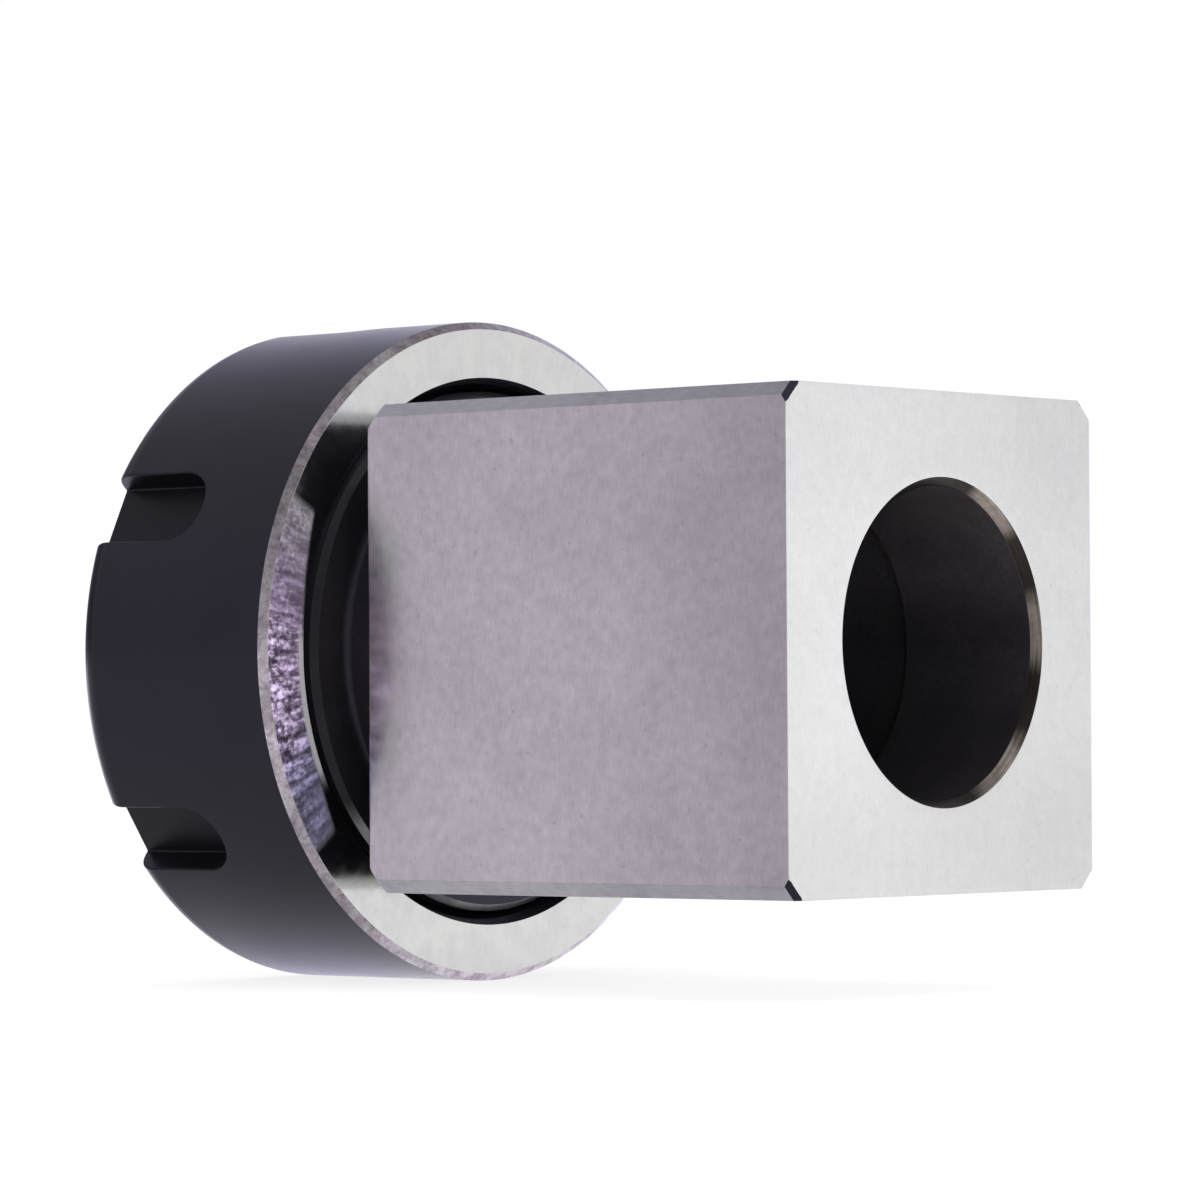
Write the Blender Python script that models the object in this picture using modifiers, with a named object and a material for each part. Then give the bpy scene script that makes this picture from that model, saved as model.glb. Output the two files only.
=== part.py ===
"""A square collet block with its clamping nut, for the size-40 ER collet series.

The spindle axis runs along X. The bored rear face of the block looks along +X and the nut's
open front along -X. The flats of the block look along +Y, -Y, +Z and -Z.
"""

import math

import bmesh
import bpy

MM = 0.001

# Block
BLOCK_SIDE = 45.0 * MM
BLOCK_LENGTH = 49.4 * MM
CORNER_STRIP = 1.25 * MM
REAR_CORNER_TURN = 0.5 * MM
REAR_CORNER_ANGLE = math.radians(45)
SHOULDER_CORNER_TURN = 1.0 * MM
SHOULDER_CORNER_ROUND = 1.9 * MM
SHOULDER_RUNOUT_ANGLE = math.radians(15)

# Neck and nose. The neck is turned a step wider than the socket's mouth.
NECK_STEP = 0.5 * MM
NECK_LENGTH = 4.6 * MM
NECK_FILLET = 0.8 * MM
THREAD_R = 25.0 * MM
NOSE_CHAMFER = 0.6 * MM

# Bore and collet socket
BORE_R = 14.0 * MM
BORE_CHAMFER = 0.8 * MM
BORE_DEPTH = 15.0 * MM
RELIEF_R = 15.0 * MM
SOCKET_MOUTH_R = 20.0 * MM
SOCKET_MOUTH_CHAMFER = 0.5 * MM
SOCKET_HALF_ANGLE = math.radians(8)

# Nut
NUT_R = 31.5 * MM
NUT_LENGTH = 25.0 * MM
NUT_REAR_CHAMFER = 0.7 * MM
NUT_ENTRY_CHAMFER = 1.0 * MM
NUT_FRONT_FILLET = 3.0 * MM
NUT_HOLE_R = 16.5 * MM
NUT_HOLE_CHAMFER = 0.5 * MM
NUT_HOLE_LAND = 0.5 * MM
NUT_SEAT_R = 20.5 * MM
NUT_SEAT_HALF_ANGLE = math.radians(30)

# Extraction lip, whose inner edge is turned off the nut's centre
LIP_R = 18.9 * MM
LIP_OFFSET = 0.9 * MM
LIP_WIDTH = 1.6 * MM
LIP_GROOVE_WIDTH = 1.6 * MM
LIP_GROOVE_DEPTH = 0.4 * MM
THREAD_RELIEF_WIDTH = 2.0 * MM
THREAD_RELIEF_DEPTH = 0.9 * MM

# Spanner slots
SLOT_COUNT = 6
SLOT_WIDTH = 7.0 * MM
SLOT_DEPTH = 3.0 * MM
SLOT_LENGTH = 14.2 * MM
FIRST_SLOT_ANGLE = math.radians(25.7)

# Clearances
THREAD_GAP = 0.3 * MM
NOSE_END_GAP = 0.5 * MM
NUT_SETBACK = 0.1 * MM

# Facets
TURNED_STEPS = 96
FILLET_STEPS = 6
SLOT_END_STEPS = 12

# How far a cutter or a joined helper runs past the face that it crosses
OVERRUN = 2.0 * MM

# Stations along the axis, from the rear face forwards, with the origin halfway
REAR_X = (BLOCK_LENGTH + NECK_LENGTH + NUT_SETBACK + NUT_LENGTH) / 2
SHOULDER_X = REAR_X - BLOCK_LENGTH
NOSE_REAR_X = SHOULDER_X - NECK_LENGTH
NUT_REAR_X = NOSE_REAR_X - NUT_SETBACK
NUT_FRONT_X = NUT_REAR_X - NUT_LENGTH
SEAT_FRONT_X = NUT_FRONT_X + NUT_HOLE_CHAMFER + NUT_HOLE_LAND
SEAT_REAR_X = SEAT_FRONT_X + (NUT_SEAT_R - NUT_HOLE_R) / math.tan(NUT_SEAT_HALF_ANGLE)
LIP_FRONT_X = SEAT_REAR_X + LIP_GROOVE_WIDTH
LIP_REAR_X = LIP_FRONT_X + LIP_WIDTH
NOSE_FRONT_X = LIP_REAR_X + NOSE_END_GAP
THREAD_RELIEF_REAR_X = LIP_REAR_X + THREAD_RELIEF_WIDTH

PARTS = "square_collet_block"
CUTTERS = "cutters"

STEEL = ("ground_steel", (0.62, 0.60, 0.64), 0.34, 1.0)
BLACK_OXIDE = ("black_oxide", (0.035, 0.034, 0.040), 0.42, 0.9)


def clear_scene():
    for obj in list(bpy.data.objects):
        bpy.data.objects.remove(obj, do_unlink=True)


def new_collection(name):
    collection = bpy.data.collections.new(name)
    bpy.context.scene.collection.children.link(collection)
    return collection


def material(name, colour, roughness, metallic):
    made = bpy.data.materials.new(name)
    made.use_nodes = True
    shader = made.node_tree.nodes["Principled BSDF"]
    shader.inputs["Base Color"].default_value = (*colour, 1.0)
    shader.inputs["Roughness"].default_value = roughness
    shader.inputs["Metallic"].default_value = metallic
    made.diffuse_color = (*colour, 1.0)
    return made


def hide_helper(obj):
    obj.hide_render = True
    obj.display_type = "WIRE"


def arc(centre_r, centre_x, radius, start, end, steps=FILLET_STEPS):
    """Points (radius, station) of an arc, with angles from the outward radial direction."""
    points = []
    for i in range(steps + 1):
        angle = start + (end - start) * i / steps
        points.append((centre_r + radius * math.cos(angle), centre_x + radius * math.sin(angle)))
    return points


def turned(name, profile, collection, closed=False):
    """A solid of revolution about the spindle axis, from points (radius, station along X)."""
    mesh = bpy.data.meshes.new(name)
    edges = [(i, i + 1) for i in range(len(profile) - 1)]
    if closed:
        edges.append((len(profile) - 1, 0))
    mesh.from_pydata([(r, 0, x) for r, x in profile], edges, [])
    obj = bpy.data.objects.new(name, mesh)
    obj.rotation_euler = (0, math.pi / 2, 0)
    collection.objects.link(obj)
    screw = obj.modifiers.new("Turn", "SCREW")
    screw.axis = "Z"
    screw.angle = math.tau
    screw.steps = TURNED_STEPS
    screw.render_steps = TURNED_STEPS
    screw.use_merge_vertices = True
    screw.merge_threshold = 0.00001
    return obj


def boolean(obj, name, operation, other):
    modifier = obj.modifiers.new(name, "BOOLEAN")
    modifier.operation = operation
    modifier.solver = "EXACT"
    modifier.object = other


def shade_turned(obj):
    """Bakes the modifiers, then shades the round walls smooth and keeps the turned edges crisp."""
    graph = bpy.context.evaluated_depsgraph_get()
    mesh = bpy.data.meshes.new_from_object(obj.evaluated_get(graph))
    mesh.name = obj.name
    obj.modifiers.clear()
    obj.data = mesh
    mesh.shade_smooth()
    mesh.set_sharp_from_angle(angle=math.radians(20))


def corner_radius():
    """Distance from the axis to the edge of a corner strip."""
    half = BLOCK_SIDE / 2
    return math.hypot(half, half - CORNER_STRIP)


def corner_envelope(cutters):
    """What the lathe leaves of the block's corners: chamfered at the rear and rounded at the shoulder."""
    corner = corner_radius()
    bar = corner + OVERRUN
    rear = corner - REAR_CORNER_TURN
    runout_cos = math.cos(SHOULDER_RUNOUT_ANGLE)
    face_angle = math.acos(runout_cos - SHOULDER_CORNER_TURN / SHOULDER_CORNER_ROUND)
    centre_r = corner - SHOULDER_CORNER_ROUND * runout_cos
    centre_x = SHOULDER_X + SHOULDER_CORNER_ROUND * math.sin(face_angle)
    rounding = arc(centre_r, centre_x, SHOULDER_CORNER_ROUND, -SHOULDER_RUNOUT_ANGLE, -face_angle)
    profile = [
        (0, REAR_X),
        (rear, REAR_X),
        (bar, REAR_X - (bar - rear) / math.tan(REAR_CORNER_ANGLE)),
        (bar, rounding[0][1] + OVERRUN / math.tan(SHOULDER_RUNOUT_ANGLE)),
    ]
    profile += rounding + [(0, SHOULDER_X)]
    envelope = turned("corner_envelope", profile, cutters)
    hide_helper(envelope)
    return envelope


def nose_radius():
    return THREAD_R - THREAD_GAP / 2


def nose_edge(chamfer):
    """A chamfer on the nose's front, at most a third of the wall round the socket's mouth."""
    return min(chamfer, (nose_radius() - SOCKET_MOUTH_R) / 3)


def neck_and_nose(cutters):
    """The round front of the block: the neck, rooted inside the block, and the threaded nose."""
    nose_r = nose_radius()
    neck_r = SOCKET_MOUTH_R + NECK_STEP
    chamfer = nose_edge(NOSE_CHAMFER)
    fillet = min(NECK_FILLET, (nose_r - chamfer - neck_r) / 2)
    fillet_r = neck_r + fillet
    profile = [(0, SHOULDER_X + OVERRUN), (fillet_r, SHOULDER_X + OVERRUN), (fillet_r, SHOULDER_X)]
    profile += arc(fillet_r, SHOULDER_X - fillet, fillet, math.pi / 2, math.pi)[1:]
    profile += arc(fillet_r, NOSE_REAR_X + fillet, fillet, math.pi, 1.5 * math.pi)
    profile += [
        (nose_r - chamfer, NOSE_REAR_X),
        (nose_r, NOSE_REAR_X - chamfer),
        (nose_r, NOSE_FRONT_X + chamfer),
        (nose_r - chamfer, NOSE_FRONT_X),
        (0, NOSE_FRONT_X),
    ]
    nose = turned("neck_and_nose", profile, cutters)
    hide_helper(nose)
    return nose


def block_bore(cutters):
    """The hole right through the block: rear bore, relief and the tapered collet socket."""
    mouth_chamfer = nose_edge(SOCKET_MOUTH_CHAMFER)
    mouth_x = NOSE_FRONT_X + mouth_chamfer
    taper_x = mouth_x + (SOCKET_MOUTH_R - RELIEF_R) / math.tan(SOCKET_HALF_ANGLE)
    step_x = REAR_X - BORE_DEPTH
    profile = [
        (0, REAR_X + OVERRUN),
        (BORE_R + BORE_CHAMFER + OVERRUN, REAR_X + OVERRUN),
        (BORE_R, REAR_X - BORE_CHAMFER),
        (BORE_R, step_x),
        (RELIEF_R, step_x),
        (RELIEF_R, taper_x),
        (SOCKET_MOUTH_R, mouth_x),
        (SOCKET_MOUTH_R + mouth_chamfer + OVERRUN, NOSE_FRONT_X - OVERRUN),
        (0, NOSE_FRONT_X - OVERRUN),
    ]
    bore = turned("block_bore", profile, cutters)
    hide_helper(bore)
    return bore


def build_block(parts, cutters, steel):
    """A square bar with narrow corner strips, its ends turned, joined to the nose and bored through."""
    length = BLOCK_LENGTH + 2 * (CORNER_STRIP + OVERRUN)
    bpy.ops.mesh.primitive_cube_add(size=1, location=((REAR_X + SHOULDER_X) / 2, 0, 0))
    block = bpy.context.active_object
    block.name = "collet_block_body"
    block.data.name = block.name
    block.scale = (length, BLOCK_SIDE, BLOCK_SIDE)
    bpy.ops.object.transform_apply(location=False, rotation=False, scale=True)
    for collection in list(block.users_collection):
        collection.objects.unlink(block)
    parts.objects.link(block)
    strips = block.modifiers.new("Corner strips", "BEVEL")
    strips.width = CORNER_STRIP
    strips.segments = 1
    strips.limit_method = "NONE"
    boolean(block, "Turned ends", "INTERSECT", corner_envelope(cutters))
    boolean(block, "Neck and nose", "UNION", neck_and_nose(cutters))
    boolean(block, "Bore", "DIFFERENCE", block_bore(cutters))
    block.data.materials.append(steel)
    return block


def slot_outline():
    """Outline of one spanner slot, seen along its depth: a half-round end and open at the front."""
    half = SLOT_WIDTH / 2
    end_x = NUT_FRONT_X + SLOT_LENGTH - half
    points = [(NUT_FRONT_X - OVERRUN, half), (NUT_FRONT_X - OVERRUN, -half)]
    for i in range(SLOT_END_STEPS + 1):
        angle = -math.pi / 2 + math.pi * i / SLOT_END_STEPS
        points.append((end_x + half * math.cos(angle), half * math.sin(angle)))
    return points


def slot_mesh():
    """The cutter of one slot, as a solid whose floor lies on the plane local Z = 0."""
    height = SLOT_DEPTH + OVERRUN
    curve = bpy.data.curves.new("slot", "CURVE")
    curve.dimensions = "2D"
    curve.fill_mode = "BOTH"
    curve.extrude = height / 2
    outline = slot_outline()
    spline = curve.splines.new("POLY")
    spline.points.add(len(outline) - 1)
    for point, (x, y) in zip(spline.points, outline):
        point.co = (x, y, 0, 1)
    spline.use_cyclic_u = True
    guide = bpy.data.objects.new("slot_guide", curve)
    bpy.context.scene.collection.objects.link(guide)
    bpy.context.view_layer.update()
    graph = bpy.context.evaluated_depsgraph_get()
    mesh = bpy.data.meshes.new_from_object(guide.evaluated_get(graph))
    bpy.data.objects.remove(guide, do_unlink=True)
    shape = bmesh.new()
    shape.from_mesh(mesh)
    bmesh.ops.remove_doubles(shape, verts=shape.verts, dist=0.000001)
    bmesh.ops.translate(shape, verts=shape.verts, vec=(0, 0, height / 2))
    bmesh.ops.recalc_face_normals(shape, faces=shape.faces)
    shape.to_mesh(mesh)
    shape.free()
    return mesh


def slot_cutters(cutters):
    """One cutter for each slot, turned about the axis from -Y towards +Z."""
    mesh = slot_mesh()
    floor_r = NUT_R - SLOT_DEPTH
    made = []
    for i in range(SLOT_COUNT):
        angle = FIRST_SLOT_ANGLE + math.tau * i / SLOT_COUNT
        cutter = bpy.data.objects.new(f"slot_cutter_{i + 1}", mesh)
        cutter.location = (0, -floor_r * math.cos(angle), floor_r * math.sin(angle))
        cutter.rotation_euler = (math.pi / 2 - angle, 0, 0)
        cutters.objects.link(cutter)
        hide_helper(cutter)
        made.append(cutter)
    return made


def lip_cutter(cutters):
    """A short cylinder, set off the nut's centre, that bores the inner edge of the extraction lip."""
    margin = LIP_GROOVE_WIDTH / 2
    profile = [
        (0, LIP_REAR_X + margin),
        (LIP_R, LIP_REAR_X + margin),
        (LIP_R, LIP_FRONT_X - margin),
        (0, LIP_FRONT_X - margin),
    ]
    cutter = turned("lip_cutter", profile, cutters)
    cutter.location = (0, 0, LIP_OFFSET)
    hide_helper(cutter)
    return cutter


def build_nut(parts, cutters, oxide):
    """The nut's turned section, then its off-centre lip and its spanner slots."""
    thread_r = THREAD_R + THREAD_GAP / 2
    groove_r = NUT_SEAT_R + LIP_GROOVE_DEPTH
    lip_blank_r = LIP_R - LIP_OFFSET - LIP_GROOVE_DEPTH
    thread_relief_r = thread_r + THREAD_RELIEF_DEPTH
    hole_edge_r = NUT_HOLE_R + NUT_HOLE_CHAMFER
    fillet_r = NUT_R - NUT_FRONT_FILLET
    wall = NUT_R - thread_r
    entry_chamfer = min(NUT_ENTRY_CHAMFER, wall / 3)
    rear_chamfer = min(NUT_REAR_CHAMFER, wall / 3)
    profile = [
        (thread_r + entry_chamfer, NUT_REAR_X),
        (NUT_R - rear_chamfer, NUT_REAR_X),
        (NUT_R, NUT_REAR_X - rear_chamfer),
    ]
    profile += arc(fillet_r, NUT_FRONT_X + NUT_FRONT_FILLET, NUT_FRONT_FILLET, 0, -math.pi / 2)
    profile += [
        (hole_edge_r, NUT_FRONT_X),
        (NUT_HOLE_R, NUT_FRONT_X + NUT_HOLE_CHAMFER),
        (NUT_HOLE_R, SEAT_FRONT_X),
        (NUT_SEAT_R, SEAT_REAR_X),
        (groove_r, SEAT_REAR_X),
        (groove_r, LIP_FRONT_X),
        (lip_blank_r, LIP_FRONT_X),
        (lip_blank_r, LIP_REAR_X),
        (thread_relief_r, LIP_REAR_X),
        (thread_relief_r, THREAD_RELIEF_REAR_X),
        (thread_r, THREAD_RELIEF_REAR_X),
        (thread_r, NUT_REAR_X - entry_chamfer),
    ]
    nut = turned("clamping_nut", profile, parts, closed=True)
    boolean(nut, "Extraction lip", "DIFFERENCE", lip_cutter(cutters))
    for cutter in slot_cutters(cutters):
        boolean(nut, cutter.name, "DIFFERENCE", cutter)
    nut.data.materials.append(oxide)
    return nut


def main():
    clear_scene()
    parts = new_collection(PARTS)
    cutters = new_collection(CUTTERS)
    block = build_block(parts, cutters, material(*STEEL))
    nut = build_nut(parts, cutters, material(*BLACK_OXIDE))
    bpy.context.view_layer.update()
    for piece in (block, nut):
        shade_turned(piece)


main()
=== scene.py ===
"""Looks of a square collet block and its clamping nut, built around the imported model.

The spindle axis runs along X. The block's bored rear face looks along +X and the nut's open
front along -X. Turned surfaces are black oxide; the flats, the rear face and the nut's rear
ring are ground bright.
"""

import math

import bmesh
import bpy
import numpy as np
from mathutils import Euler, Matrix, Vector


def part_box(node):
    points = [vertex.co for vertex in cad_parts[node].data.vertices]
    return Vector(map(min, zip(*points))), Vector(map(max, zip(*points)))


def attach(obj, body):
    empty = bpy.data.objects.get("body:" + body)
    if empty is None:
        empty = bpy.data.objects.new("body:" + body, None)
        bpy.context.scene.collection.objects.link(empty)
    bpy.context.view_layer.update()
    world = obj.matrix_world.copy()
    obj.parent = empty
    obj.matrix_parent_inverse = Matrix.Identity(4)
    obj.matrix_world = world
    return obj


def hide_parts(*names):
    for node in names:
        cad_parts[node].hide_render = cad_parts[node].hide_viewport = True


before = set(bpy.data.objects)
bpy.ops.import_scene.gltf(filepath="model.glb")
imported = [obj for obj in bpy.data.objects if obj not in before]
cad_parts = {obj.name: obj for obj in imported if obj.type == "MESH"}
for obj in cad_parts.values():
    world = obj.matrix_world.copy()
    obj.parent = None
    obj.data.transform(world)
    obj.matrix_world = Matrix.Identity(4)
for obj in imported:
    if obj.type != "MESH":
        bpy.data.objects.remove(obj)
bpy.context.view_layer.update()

MM = 0.001

BLOCK_NODE = "collet_block_body"
NUT_NODE = "clamping_nut"
block_low, block_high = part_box(BLOCK_NODE)
nut_low, nut_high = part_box(NUT_NODE)

# Block. The shoulder's face has round rings up to SHOULDER_RING_R and square ones beyond it.
REAR_X = block_high.x
HALF = 22.5 * MM
BLOCK_LENGTH = 49.4 * MM
SHOULDER_X = REAR_X - BLOCK_LENGTH
SHOULDER_CHAMFER = 1.0 * MM
CHAMFER_END_X = SHOULDER_X + SHOULDER_CHAMFER
SHOULDER_RING_R = HALF - 1.5 * SHOULDER_CHAMFER
CORNER_STRIP = 1.25 * MM
CORNER_R = math.hypot(HALF, HALF - CORNER_STRIP)
REAR_CORNER_TURN = 0.5 * MM
SHOULDER_CORNER_TURN = 1.0 * MM
SHOULDER_CORNER_ROUND = 1.9 * MM
SHOULDER_RUNOUT = math.radians(15)
SHOULDER_FACE_ANGLE = math.acos(
    math.cos(SHOULDER_RUNOUT) - SHOULDER_CORNER_TURN / SHOULDER_CORNER_ROUND
)
ROUND_CENTRE_X = SHOULDER_X + SHOULDER_CORNER_ROUND * math.sin(SHOULDER_FACE_ANGLE)
ROUND_END_X = ROUND_CENTRE_X - SHOULDER_CORNER_ROUND * math.sin(SHOULDER_RUNOUT)
REAR_CHAMFER_X = REAR_X - REAR_CORNER_TURN

# Neck and nose
NUT_REAR_X = nut_high.x
NUT_SETBACK = 0.1 * MM
NOSE_REAR_X = NUT_REAR_X + NUT_SETBACK
NOSE_FRONT_X = block_low.x
NECK_R = 20.5 * MM
NECK_FILLET = 0.8 * MM
THREAD_R = 25.0 * MM
THREAD_GAP = 0.3 * MM
NOSE_R = THREAD_R - THREAD_GAP / 2
NOSE_CHAMFER = 0.6 * MM

# Bore and collet socket
BORE_R = 14.0 * MM
BORE_CHAMFER = 0.8 * MM
BORE_STEP_X = REAR_X - 15.0 * MM
RELIEF_R = 15.0 * MM
SOCKET_MOUTH_R = 20.0 * MM
SOCKET_MOUTH_CHAMFER = 0.5 * MM
SOCKET_MOUTH_X = NOSE_FRONT_X + SOCKET_MOUTH_CHAMFER
SOCKET_SLOPE = math.tan(math.radians(8))
SOCKET_END_X = SOCKET_MOUTH_X + (SOCKET_MOUTH_R - RELIEF_R) / SOCKET_SLOPE

# Thread, 60 degrees, with an eighth of the pitch left flat on its crests
PITCH = 1.5 * MM
THREAD_DEPTH = 5 / 16 * math.sqrt(3) * PITCH
CREST = PITCH / 8
ROOT = PITCH / 4
ROOT_DIP = 0.03 * MM
THREAD_FADE = 0.7 * MM

# Nut
NUT_R = nut_high.z
NUT_FRONT_X = nut_low.x
NUT_BORE_R = THREAD_R + THREAD_GAP / 2
NUT_REAR_CHAMFER = 0.7 * MM
NUT_FRONT_FILLET = 3.0 * MM
NUT_ENTRY_CHAMFER = 1.0 * MM
NUT_HOLE_R = 16.5 * MM
NUT_HOLE_CHAMFER = 0.5 * MM
NUT_HOLE_LAND = 0.5 * MM
SEAT_R = 20.5 * MM
SEAT_FRONT_X = NUT_FRONT_X + NUT_HOLE_CHAMFER + NUT_HOLE_LAND
SEAT_REAR_X = SEAT_FRONT_X + (SEAT_R - NUT_HOLE_R) / math.tan(math.radians(30))
GROOVE_R = SEAT_R + 0.4 * MM
LIP_R = 18.9 * MM
LIP_OFFSET = 0.9 * MM
LIP_FRONT_X = SEAT_REAR_X + 1.6 * MM
LIP_REAR_X = LIP_FRONT_X + 1.6 * MM
THREAD_RELIEF_R = NUT_BORE_R + 0.9 * MM
THREAD_RELIEF_X = LIP_REAR_X + 2.0 * MM
NUT_THREAD_X = THREAD_RELIEF_X + THREAD_RELIEF_R - NUT_BORE_R

# Spanner slots
SLOT_COUNT = 6
SLOT_HALF = 3.5 * MM
SLOT_DEPTH = 3.0 * MM
SLOT_LENGTH = 14.2 * MM
SLOT_FLOOR_R = NUT_R - SLOT_DEPTH
FIRST_SLOT_ANGLE = math.radians(25.7)
SLOT_CORNER = 0.18 * MM

# Edge breaks. The rear one is (across, along the spindle axis), and the slots' one turns by
# SLOT_BREAK_TURN before its cutter goes on straight by SLOT_FLARE and then up.
SHOULDER_BREAK = 0.2 * MM
REAR_BREAK = (0.5 * MM, 0.12 * MM)
STRIP_BREAK = 0.12 * MM
TURNED_BREAK = 0.1 * MM
BORE_BREAK = 0.3 * MM
LIP_BREAK = 0.18 * MM
SLOT_BREAK = 0.22 * MM
SLOT_BREAK_TURN = math.pi / 3
SLOT_FLARE = 0.6 * SLOT_BREAK
CUTTER_HEIGHT = 4 * SLOT_DEPTH

# Facets
FLAT_STEPS = 24
EDGE_STEPS = 3
BAND_STEPS = 5
NUT_STEPS = 288
BREAK_STEPS = 4
FILLET_STEPS = 14
LARGE_ROUND = 1.0 * MM
SLOT_END_STEPS = 24
SLOT_FRONT_STEPS = 10
SLOT_BREAK_STEPS = 3
SHOULDER_CHAMFER_STEPS = 8
CORNER_ROUND_STEPS = 3
BODY_STEPS = 14
REAR_CORNER_STEPS = 3
WELD = 0.0002 * MM
CRISP_ANGLE = math.radians(28)
FACE_WEIGHT = 90

# Finishes. A sector is (angle from +Y towards +Z, half width, softness) in degrees, and a fade
# is (axis, first and last place along it in millimetres, how bright the last place is).
RING_SECTOR = (185.0, 32.0, 1.2)
RING_HEART = (189.0, 12.0, 9.0)
# Painted highlight along the ring's inner edge
RING_EDGE_HIGHLIGHT = (192.0, 15.0, 3.0)
# Painted highlight on the ring's rim
RIM_HIGHLIGHT = (194.0, 14.0, 4.0)
# Painted highlights on the bore's edge
BORE_HIGHLIGHTS = ((57.0, 8.0, 9.0), (5.0, 9.0, 8.0), (-52.0, 11.0, 10.0))
# A lighter sector at the bottom of the nose's rear edge
NOSE_BRIGHT_SECTOR = ((-90.0, 50.0, 6.0),)
# Painted shade along the flats, the corner strips and the rear face
FLAT_PAINTED_SHADE = ((0, 14.0, 38.0, 0.82),)
STRIP_PAINTED_SHADE = ((0, 0.0, 30.0, 0.82),)
END_PAINTED_SHADE = ((1, -15.0, 24.0, 0.88), (2, -5.0, -18.0, 0.90), (2, 8.0, 18.0, 0.95))
# Painted light in the bore, growing towards its top
BORE_PAINTED_LIGHT = ((2, -9.0, 0.0, 1.7), (2, 0.0, 11.0, 4.2))
OXIDE_TINT = (0.74, 0.69, 1.0)
OXIDE_IOR = 1.5
EDGE_ROUGH = 0.3

# Painted shade beside the shoulder: there the flats' colour is multiplied by the colour below.
# That fades out over this length from the shoulder, and over this stretch from a flat's middle to
# its sides, in millimetres.
SHOULDER_SHADE = (0.53, 0.60, 0.47)
SHOULDER_SHADE_LENGTH = 6.5
SHOULDER_SHADE_ACROSS = (5.0, 17.0)

# The nut's rear ring and its rim: two bright colours each, and the tint's colours with the
# heights, as parts of the radius, at which they change. The rest is in millimetres from the
# axis: where the tint starts, how its edge bends away from the height EDGE_MIDDLE, where the
# speckle gets stronger, and how far the painted highlight on the inner edge reaches.
RING_GREYS = ((0.62, 0.615, 0.61), (0.58, 0.575, 0.58))
TINT_LOW = (0.35, 0.32, 0.51)
TINT_MIDDLE = (0.46, 0.36, 0.54)
TINT_HIGH = (0.54, 0.49, 0.58)
LOW_TO_MIDDLE = (-0.45, -0.18)
MIDDLE_TO_HIGH = (0.15, 0.42)
# Colour of the painted highlight on the ring's inner edge
EDGE_HIGHLIGHT_COLOUR = (1.0, 0.98, 1.0)
TINT_START = (25.9, 26.5)
EDGE_MIDDLE = -2.0
EDGE_BEND = 0.007
SPECKLE_GROWS = (27.5, 29.0)
EDGE_HIGHLIGHT_TO = (26.65, 27.0)
RIM_COLOURS = ((0.53, 0.46, 0.52), (0.82, 0.75, 0.83))

# How much deeper the speckle is in the tint's heart and how much brighter its painted highlight
# makes the heart, and how much less metallic and how much rougher the tint is than the rest of the
# ring
HEART_DEPTH = 0.38
HEART_HIGHLIGHT = 0.35
TINT_SCATTER = 0.75
TINT_ROUGH = 0.28

# Studio: how bright reflections see its walls, ceiling and floor. A wall's reach is the cosine
# of the angle to its side at which it starts and the one at which it is full.
BRIGHT_SIDE = (0.6, 0.8, 0.0)
BRIGHT_REACH = (-0.15, 0.6)
BRIGHT_WALL = 1.06
DIM_WALL = 0.52
CAMERA_SIDE = (0.65, -0.76, 0.0)
CAMERA_REACH = (0.4, 0.95)
CAMERA_SHADE = 0.12
DARK_SIDE = (-1.0, 0.05, 0.0)
DARK_REACH = (0.78, 0.96)
DARK_WALL = 0.3
CEILING_REACH = (0.4, 1.0)
CEILING = 0.33
FLOOR_GREY = 0.25
FLOOR_WHITE = 0.83
FLOOR_FRONT = 0.33
FLOOR_BACK = 0.92
FLOOR_TURN = (-28 * MM, 0 * MM)
FLOOR_HALF = 6.0

# Bluish reflections of the far side, and the stretches of the floor over which they fade out
FAR_SIDE = (-0.65, 0.76, 0.0)
FAR_REACH = (0.3, 0.9)
FAR_TINT = (0.96, 0.94, 1.17)
TINT_END = (-30 * MM, -10 * MM)
TINT_FRONT = (-25 * MM, -5 * MM)
WHITE = (1, 1, 1)

# The lamp, with its place and size in metres and its power in watts
LAMP_PLACE = (0.2, -0.1, 0.9)
LAMP_SIZE = 0.9
LAMP_POWER = 0.8

# Camera: where it stands and how it looks, as it was in the photograph
CAMERA_PLACE = (333.7 * MM, -391.0 * MM, -7.7 * MM)
CAMERA_AZIMUTH = math.radians(40.559)
CAMERA_ELEVATION = math.radians(-1.370)
CAMERA_ROLL = math.radians(-0.337)
CAMERA_LENS = 164.1
CAMERA_SENSOR = 36.0
CAMERA_CLIP = (0.02, 50.0)


def quarter_round():
    """(across, along) of the points of a quarter circle with radius 1, from (1, 0) to (0, 1)."""
    angles = [math.pi / 2 * i / BREAK_STEPS for i in range(BREAK_STEPS + 1)]
    return [(1 - math.sin(angle), 1 - math.cos(angle)) for angle in angles]


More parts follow.
